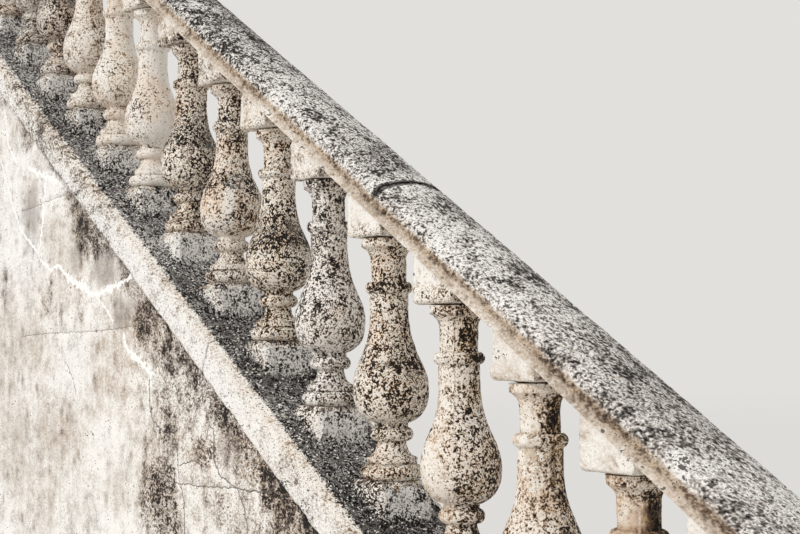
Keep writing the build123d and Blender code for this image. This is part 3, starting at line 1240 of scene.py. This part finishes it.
    def moss_material(self):
        """Dry dark moss with paler tips."""
        box = colours()
        material, tree, place = open_material("dry_moss")
        patch, blot = tree.spread(place, 0.03, 3.0), tree.spread(place, 0.009, 2.0)
        tuft = tree.spread(place, 0.0055, 1.0)
        tone = tuft * 2.0 + blot * 0.9 + patch * 0.3 - 0.8
        deep = tuple(0.45 * part for part in box["black"][:3]) + (1.0,)
        body = tree.ramp(tone, (0, deep), (0.33, box["slate"]), (0.7, box["grey"]), (1, box["pale"]))
        brown = tree.ramp(tone, (0, deep), (0.4, box["brown"]), (1, box["beige"]))
        body = tree.mix(patch.rise(0.2, 1.2) * 0.4, body, brown)
        close_material(tree, body, 0.95, tuft * 0.08, 0.003)
        return material


# Flank wall

# Runs of lime down the outer face: half width, then places along the run and above the ground
LIME_RUNS = [
    (0.007, [(-2.0, 2.407), (-1.864, 2.243), (-1.734, 2.122), (-1.553, 2.039), (-1.47, 1.982)]),
    (0.011, [(-1.518, 2.037), (-1.471, 1.993), (-1.381, 1.961), (-1.294, 1.974), (-1.219, 1.937)]),
    (
        0.02,
        [(-1.219, 1.937), (-1.115, 1.903), (-1.014, 1.886)]
        + [(-0.946, 1.861), (-0.806, 1.873), (-0.7, 1.889)],
    ),
    (0.01, [(-0.7, 1.889), (-0.602, 1.905), (-0.56, 1.93)]),
    (0.015, [(-1.646, 2.342), (-1.505, 2.304), (-1.336, 2.271)]),
    (0.011, [(-1.447, 2.281), (-1.467, 2.212), (-1.476, 2.141), (-1.5, 2.06), (-1.518, 2.037)]),
    (0.018, [(-0.659, 1.726), (-0.623, 1.683), (-0.555, 1.662), (-0.513, 1.647), (-0.455, 1.624)]),
    (0.014, [(-0.455, 1.624), (-0.422, 1.609), (-0.438, 1.579)]),
    (0.006, [(-0.898, 1.844), (-0.822, 1.816), (-0.758, 1.771)]),
    (0.006, [(-1.95, 2.58), (-1.9, 2.45), (-1.8, 2.38)]),
]

# Cracks of the outer face in the same way
CRACKS = [
    (0.0035, [(-0.446, 1.594), (-0.445, 1.52), (-0.42, 1.476), (-0.348, 1.45), (-0.286, 1.43)]),
    (0.0028, [(-0.209, 1.354), (-0.122, 1.376), (-0.073, 1.373), (-0.044, 1.348)]),
    (
        0.0035,
        [(0.049, 1.513), (0.029, 1.47), (0.031, 1.385)]
        + [(0.071, 1.344), (0.182, 1.32), (0.245, 1.317)],
    ),
    (0.0035, [(0.245, 1.317), (0.348, 1.322), (0.384, 1.325), (0.407, 1.339)]),
    (0.003, [(0.182, 1.32), (0.227, 1.28), (0.252, 1.217), (0.27, 1.12), (0.25, 0.98)]),
    (0.0025, [(0.029, 1.47), (-0.005, 1.478), (-0.02, 1.44)]),
    (0.0025, [(-0.225, 1.384), (-0.209, 1.314), (-0.171, 1.261), (-0.17, 1.177), (-0.18, 1.02)]),
    (0.0015, [(-1.713, 2.191), (-1.501, 2.2), (-1.259, 2.212)]),
    (
        0.0015,
        [(-1.7, 1.732), (-1.565, 1.736), (-1.319, 1.741)]
        + [(-0.914, 1.744), (-0.54, 1.756), (-0.433, 1.754)],
    ),
    (0.0024, [(-0.464, 1.303), (-0.231, 1.304), (-0.016, 1.309), (0.182, 1.32)]),
    (0.002, [(-1.199, 1.632), (-1.135, 1.583), (-1.104, 1.533)]),
    (0.0065, [(-1.322, 1.741), (-1.308, 1.742)]),
    (0.0065, [(-0.92, 1.744), (-0.908, 1.744)]),
    (0.006, [(-0.546, 1.756), (-0.534, 1.756)]),
]

# Patches of the outer face by kind: place along, height, half width, half height and strength
PATCHES = {
    "mould": [
        (-1.67, 2.45, 0.08, 0.05, 0.7), (-1.64, 2.5, 0.1, 0.06, 0.8), (-1.13, 2.2, 0.12, 0.1, 1.0),
        (-1.0, 2.1, 0.16, 0.11, 1.0), (-0.86, 2.03, 0.12, 0.09, 1.0),
        (-0.65, 1.91, 0.06, 0.05, 0.8), (-0.49, 1.78, 0.1, 0.1, 0.85), (-0.3, 1.7, 0.12, 0.08, 0.6),
        (-0.13, 1.6, 0.2, 0.1, 0.5), (0.08, 1.52, 0.09, 0.05, 0.95), (0.18, 1.46, 0.09, 0.05, 0.9),
        (0.28, 1.4, 0.08, 0.06, 0.85), (0.41, 1.33, 0.12, 0.07, 0.9), (0.5, 1.22, 0.14, 0.14, 0.5),
        (-0.3, 1.52, 0.1, 0.16, 0.45), (-0.05, 1.41, 0.035, 0.05, 0.8),
        (0.1, 1.26, 0.03, 0.06, 0.5), (-1.93, 1.94, 0.03, 0.12, 0.5),
        (-1.38, 1.89, 0.022, 0.06, 0.7), (-1.06, 1.82, 0.03, 0.05, 0.7),
        (-1.27, 1.8, 0.022, 0.05, 0.5), (-0.475, 1.39, 0.02, 0.05, 0.6),
    ],
    "crust": [
        (-0.36, 1.245, 0.155, 0.15, 1.0), (0.02, 1.4, 0.04, 0.04, 0.6),
        (-1.41, 1.85, 0.05, 0.05, 0.4),
    ],
    "repair": [
        (-1.62, 2.17, 0.11, 0.14, 1.0), (-1.13, 1.99, 0.05, 0.06, 0.9),
        (-0.83, 1.94, 0.13, 0.065, 1.0), (-0.67, 1.8, 0.11, 0.055, 0.9),
        (0.13, 1.42, 0.085, 0.07, 0.8),
    ],
    "lime": [
        (-1.33, 2.235, 0.08, 0.045, 0.75), (-1.06, 1.91, 0.07, 0.04, 0.8),
        (-1.72, 2.36, 0.07, 0.05, 0.5),
    ],
}

# Spacing of the places round the wall's border, and of those along a crack or run, with how far
# these stray sideways and how close to the border they may come
BORDER_SPACING = 0.05
LINE_SPACING, LINE_WOBBLE, LINE_MARGIN = 0.011, 0.0028, 0.012


def wobbly_line(line, rng):
    """Evenly spaced places along a line of points, pushed a little to either side."""
    places = []
    for a, b in zip(line, line[1:]):
        a, b = Vector(a), Vector(b)
        count = max(1, round((b - a).length / LINE_SPACING))
        places += [a.lerp(b, k / count) for k in range(count)]
    places.append(Vector(line[-1]))
    moved = [places[0]]
    for before, here, after in zip(places, places[1:], places[2:]):
        across = Vector((before.y - after.y, after.x - before.x)).normalized()
        moved.append(here + across * rng.uniform(-LINE_WOBBLE, LINE_WOBBLE))
    return [*moved, places[-1]]


# How deep a crack is and how far a run of lime stands out, as shares of its half width
CRACK_DEPTH, LIME_DEPTH = 0.9, -0.14

# What a place away from every crack and run of lime is marked with: crack, lime and sunk
UNMARKED = (0.0, 0.0, 0.0)


class BALUSTRADE_OT_wall(Operator):
    """Render the flank wall, with its cracks, lime runs, repairs and mould."""

    bl_idname = "balustrade.wall"
    bl_label = "Flank wall"

    def execute(self, context):
        self.facet = context.scene.balustrade_facets.wall
        self.low, self.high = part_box("flank_wall")
        rng = random.Random(context.scene.balustrade_wear.seed)
        border = self.border()
        far_cracks, far_patches = self.scattered(rng, [(0.55, 2.7), (-2.7, -2.05)])
        front = self.face(border, CRACKS + far_cracks, LIME_RUNS, rng)
        back_cracks, back_patches = self.scattered(rng, [(-2.7, 2.7)])
        back = self.face(border, back_cracks, [], rng)
        mesh = self.shell(front, back, len(border))
        looks = {"depth": 0.0022, "streaks": 1.0, "contrast": 0.75, "along": 0.6}
        material = stone_material("old_lime_render", grain=0.0044, **looks)
        changes = {"Waviness": 0.006, "Roughness": 0.0016, "Pit Depth": 0.0008}
        changes |= {"Chip Depth": 0.0, "Edge Wear": 0.0}
        piece = weather("flank_wall_render", mesh, material, 500, **changes)
        near_patches = [(kind, *patch) for kind, rows in PATCHES.items() for patch in rows]
        self.mark(piece.data, near_patches + far_patches, back_patches)
        place_piece(piece, "lime_render", "flank_wall")
        return {"FINISHED"}

    def top(self, x):
        """Height of the wall's raking top."""
        return self.high.z - (x - self.low.x) * FALL

    def border(self):
        """Places round the wall's outer face, along and up."""
        low, high = self.low.x, self.high.x
        count = round((high - low) / BORDER_SPACING)
        border = [(low + (high - low) * k / count, 0.0) for k in range(count)]
        border += [(high, self.top(high) * k / 3) for k in range(3)]
        along = [high - (high - low) * k / count for k in range(count)]
        border += [(x, self.top(x)) for x in along]
        rows = round(self.top(low) / BORDER_SPACING)
        return border + [(low, self.top(low) * (1 - k / rows)) for k in range(rows)]

    def inside(self, x, z, margin):
        """Whether a place is on the face and not too near its border."""
        return self.low.x + margin < x < self.high.x - margin and margin < z < self.top(x) - margin

    def scattered(self, rng, stretches):
        """Seeded cracks and mould for a stretch of wall."""
        cracks, patches = [], []
        for start, end in stretches:
            for _ in range(round((end - start) * 2.2)):
                x = rng.uniform(start, end)
                z = self.top(x) * rng.uniform(0.35, 0.95)
                heading, line = rng.choice((-1.6, -1.2, 0.1, 2.9)), [(x, z)]
                for _ in range(rng.randint(4, 9)):
                    heading += rng.uniform(-0.5, 0.5)
                    x, z = x + 0.06 * math.cos(heading), z + 0.06 * math.sin(heading)
                    line.append((x, z))
                cracks.append((rng.uniform(0.0022, 0.0035), line))
            for _ in range(round((end - start) * 8)):
                x = rng.uniform(start, end)
                drop = rng.uniform(0.0, 0.16) if rng.random() < 0.75 else rng.uniform(0.1, 0.7)
                z = self.top(x) - drop
                width, height = rng.uniform(0.05, 0.16), rng.uniform(0.05, 0.14)
                patches.append(("mould", x, z, width, height, rng.uniform(0.35, 0.9)))
            for _ in range(round((end - start) * 1.5)):
                x = rng.uniform(start, end)
                z = self.top(x) * rng.uniform(0.3, 0.9)
                kind = rng.choice(("repair", "crust", "repair"))
                width, height = rng.uniform(0.05, 0.15), rng.uniform(0.05, 0.12)
                patches.append((kind, x, z, width, height, rng.uniform(0.4, 0.9)))
        return cracks, patches

    def face(self, border, cracks, runs, rng):
        """Triangles of one face, with a furrow along each crack and a ridge along each lime run."""
        places, marks = [Vector(p) for p in border], [UNMARKED] * len(border)
        edges = [(i, (i + 1) % len(border)) for i in range(len(border))]
        for lines, mark, depth in ((cracks, (1, 0), CRACK_DEPTH), (runs, (0, 1), LIME_DEPTH)):
            for half_width, line in lines:
                middles = wobbly_line(line, rng)
                before = None
                for k, here in enumerate(middles):
                    ahead, behind = middles[min(k + 1, len(middles) - 1)], middles[max(k - 1, 0)]
                    across = Vector((behind.y - ahead.y, ahead.x - behind.x)).normalized()
                    wide = half_width * rng.uniform(0.75, 1.25) * (1 + abs(across.x))
                    if not self.inside(*here, LINE_MARGIN):
                        before = None
                        continue
                    start = len(places)
                    places += [here, here + across * wide, here - across * wide]
                    marks += [(*mark, half_width * depth), UNMARKED, UNMARKED]
                    if before is not None:
                        edges.append((before, start))
                    before = start
        taken = KDTree(len(places))
        for i, place in enumerate(places):
            taken.insert((place.x, place.y, 0), i)
        taken.balance()
        z, row = self.facet, 0
        while z < self.high.z:
            x = self.low.x + self.facet * (0.5 if row % 2 else 1.0)
            while x < self.high.x:
                push = Vector((rng.uniform(-0.2, 0.2), rng.uniform(-0.2, 0.2)))
                place = Vector((x, z)) + push * self.facet
                clear = taken.find((*place, 0))[2] > self.facet * 0.3
                if clear and self.inside(*place, self.facet * 0.5):
                    places.append(place)
                    marks.append(UNMARKED)
                x += self.facet
            z, row = z + self.facet * 0.9, row + 1
        spread, _, triangles, came_from, *_ = delaunay_2d_cdt(places, edges, [], 0, SAME_POINT)
        found = {old: new for new, olds in enumerate(came_from) for old in olds}
        values = np.zeros((len(spread), 3))
        for new, olds in enumerate(came_from):
            olds = olds or [taken.find((*spread[new], 0))[1]]
            values[new] = [max(column, key=abs) for column in zip(*(marks[old] for old in olds))]
        return spread, triangles, values, [found[i] for i in range(len(border))]

    def shell(self, front, back, ring):
        """Both faces and the strip that joins them, as one closed mesh."""
        size = len(front[0])
        points = [(p.x, -WALL_FACE, p.y) for p in front[0]]
        points += [(p.x, WALL_FACE, p.y) for p in back[0]]
        faces = [tuple(t) for t in front[1]]
        faces += [tuple(i + size for i in reversed(t)) for t in back[1]]
        for k in range(ring):
            a, b = front[3][k], front[3][(k + 1) % ring]
            c, d = back[3][k] + size, back[3][(k + 1) % ring] + size
            faces.append((b, a, c, d))
        mesh = make_mesh("flank_wall_render", points, faces)
        values = np.vstack((front[2], back[2]))
        for name, numbers in zip(("crack", "lime", "sunk"), values.T):
            paint(mesh, name, numbers)
        points = np.array(points)
        at_rim = np.abs(points[:, 0]) > self.high.x - 1e-4
        at_rim |= (points[:, 2] < 1e-4) | (points[:, 2] > self.top(points[:, 0]) - 1e-4)
        paint(mesh, "bearing", at_rim)
        return mesh

    def mark(self, mesh, front_patches, back_patches):
        """Pale render with mould below the coping, crust, repairs and splashes of lime."""
        points = read_points(mesh)
        drop = self.top(points[:, 0]) - points[:, 2]
        masks = {kind: np.zeros(len(points)) for kind in PATCHES}
        cloud, ragged = cloudy(points, 0.16), cloudy(points, 0.04)
        reach = 0.05 + 0.10 * smooth(-1.3, 0.4, points[:, 0]) + 0.05 * cloud
        masks["mould"] += 0.8 * (1 - smooth(0.0, 1.0, drop / reach + 0.35 * ragged))
        for patches, facing in ((front_patches, points[:, 1] < 0), (back_patches, points[:, 1] > 0)):
            for kind, x, z, width, height, strength in patches:
                far = np.hypot((points[:, 0] - x) / width, (points[:, 2] - z) / height)
                patch = facing * strength * (1 - smooth(0.55, 1.2, far + 0.35 * ragged))
                masks[kind] = np.maximum(masks[kind], patch)
        repair = masks["repair"]
        mould, crust = (masks[kind] * (1 - 0.85 * repair) for kind in ("mould", "crust"))
        uphill = smooth(-0.6, -1.9, points[:, 0])
        damp = smooth(0.75, 0.1, drop) * smooth(-1.2, 0.2, points[:, 0])
        beyond = smooth(-0.52, -0.43, points[:, 0] + 0.05 * ragged) * smooth(0.55, 0.3, drop)
        level = 0.85 - 0.54 * mould - 0.48 * crust - 0.21 * repair
        level = level - 0.08 * damp - 0.09 * beyond + 0.05 * cloud
        stir = 0.20 + 0.5 * mould + 0.8 * crust - 0.12 * repair + 0.2 * damp + 0.1 * beyond
        grey = 0.62 + 0.2 * uphill + 0.15 * repair - 0.12 * np.maximum(mould, crust)
        paint_stone(mesh, level, stir, 0.0, np.clip(grey, 0, 1), 0.18 * mould + 0.3 * crust)
        paint(mesh, "lime", np.maximum(painted(mesh, "lime"), 0.5 * masks["lime"]))


# Stage

# The camera as fitted to the photo: place in metres, turn, tilt and width of its sensor in
# millimetres
CAMERA_PLACE = Vector((4.147, -1.932, 1.686))
CAMERA_YAW = math.radians(30.077)
CAMERA_PITCH = math.radians(2.871)
SENSOR = 36

# Where the soft lamp stands, seen from the object, and how wide it looks
LAMP_FROM = Vector((0.12, -0.85, 0.52))
LAMP_WIDTH = math.radians(22)

# Rings of the floor, and where it starts and ends to fade, in metres from the middle
FLOOR_RINGS = (8, 16, 24, 32, 48, 70)
FLOOR_FADE = (26, 66)


class BALUSTRADE_OT_stage(Operator):
    """Set the pale floor, the soft light and the camera."""

    bl_idname = "balustrade.stage"
    bl_label = "Stage"

    def execute(self, context):
        stage = context.scene.balustrade_stage
        self.floor(stage)
        self.light(context.scene, stage)
        data = bpy.data.cameras.new("camera")
        data.lens, data.sensor_width = stage.lens, SENSOR
        camera = new_object("camera", data)
        level = math.cos(CAMERA_PITCH)
        x, y = -math.cos(CAMERA_YAW) * level, math.sin(CAMERA_YAW) * level
        forward = Vector((x, y, math.sin(CAMERA_PITCH)))
        turn = forward.to_track_quat("-Z", "Y").to_matrix().to_4x4()
        camera.matrix_world = Matrix.Translation(CAMERA_PLACE) @ turn
        context.scene.camera = camera
        context.scene.view_settings.view_transform = "Standard"
        return {"FINISHED"}

    def floor(self, stage):
        """A wide round floor that fades into the backdrop."""
        ring, points = 96, [(0, 0, 0)]
        turns = np.arange(ring) * 2 * math.pi / ring
        for radius in FLOOR_RINGS:
            points += [(radius * math.cos(turn), radius * math.sin(turn), 0) for turn in turns]
        faces = [(0, 1 + k, 1 + (k + 1) % ring) for k in range(ring)]
        for start in range(1, 1 + ring * (len(FLOOR_RINGS) - 1), ring):
            for k in range(ring):
                a, b = start + k, start + (k + 1) % ring
                faces.append((a, a + ring, b + ring, b))
        floor = new_object("floor", make_mesh("floor", points, faces))
        material, tree, place = open_material("studio_floor")
        away = tree.add("ShaderNodeVectorMath", {"operation": "LENGTH"}, {0: place}).outputs["Value"]
        fade = Number(tree, away).rise(*FLOOR_FADE)
        plain = tree.first("ShaderNodeBsdfDiffuse", None, {"Color": (*stage.floor, 1)})
        clear = tree.first("ShaderNodeBsdfTransparent")
        both = tree.first("ShaderNodeMixShader", None, {0: fade, 1: plain, 2: clear})
        tree.add("ShaderNodeOutputMaterial", None, {"Surface": both})
        floor.data.materials.append(material)

    def light(self, scene, stage):
        """One large soft lamp from the outer side, and an even sky."""
        sun = bpy.data.lights.new("soft_lamp", "SUN")
        sun.energy, sun.angle = stage.lamp, LAMP_WIDTH
        lamp = new_object("soft_lamp", sun)
        lamp.matrix_world = LAMP_FROM.to_track_quat("Z", "Y").to_matrix().to_4x4()
        world = bpy.data.worlds.new("studio")
        world.use_nodes = True
        world.node_tree.nodes.clear()
        tree = Tree(world.node_tree)
        path = tree.add("ShaderNodeLightPath")
        seen = tree.maths("MAXIMUM", path.outputs["Is Camera Ray"], path.outputs["Is Glossy Ray"])
        seen = seen.most(Number(tree, path.outputs["Is Transmission Ray"]))
        sky, shown = (
            tree.first("ShaderNodeBackground", None, {"Color": (*tone, 1), "Strength": strength})
            for tone, strength in (((1, 1, 1), stage.sky), (stage.backdrop, 1.0))
        )
        both = tree.first("ShaderNodeMixShader", None, {0: seen, 1: sky, 2: shown})
        tree.add("ShaderNodeOutputWorld", None, {"Surface": both})
        scene.world = world


class BALUSTRADE_PT_panel(Panel):
    """Lists the settings and the pieces."""

    bl_label = "Balustrade"
    bl_idname = "BALUSTRADE_PT_panel"
    bl_space_type = "VIEW_3D"
    bl_region_type = "UI"
    bl_category = "Balustrade"

    def draw(self, context):
        for name in GROUPS:
            group = getattr(context.scene, name)
            box = self.layout.box()
            box.label(text=name.removeprefix("balustrade_").capitalize())
            for setting in type(group).__annotations__:
                box.prop(group, setting)
        for operator in OPERATORS:
            self.layout.operator(operator.bl_idname)


GROUPS = {
    "balustrade_colours": BalustradeColours,
    "balustrade_wear": BalustradeWear,
    "balustrade_facets": BalustradeFacets,
    "balustrade_stage": BalustradeStage,
}
OPERATORS = (
    BALUSTRADE_OT_stage,
    BALUSTRADE_OT_wall,
    BALUSTRADE_OT_coping,
    BALUSTRADE_OT_balusters,
    BALUSTRADE_OT_wedges,
    BALUSTRADE_OT_handrail,
)


def register():
    """Adds the settings, the operators and the panel."""
    for cls in (*GROUPS.values(), *OPERATORS, BALUSTRADE_PT_panel):
        bpy.utils.register_class(cls)
    for name, group in GROUPS.items():
        setattr(bpy.types.Scene, name, PointerProperty(type=group))


def unregister():
    """Takes them away again."""
    for name in GROUPS:
        delattr(bpy.types.Scene, name)
    for cls in reversed((*GROUPS.values(), *OPERATORS, BALUSTRADE_PT_panel)):
        bpy.utils.unregister_class(cls)


def main():
    """Builds every piece in order."""
    register()
    bpy.ops.balustrade.stage()
    bpy.ops.balustrade.wall()
    bpy.ops.balustrade.coping()
    bpy.ops.balustrade.balusters()
    bpy.ops.balustrade.wedges()
    bpy.ops.balustrade.handrail()


if __name__ == "__main__":
    main()
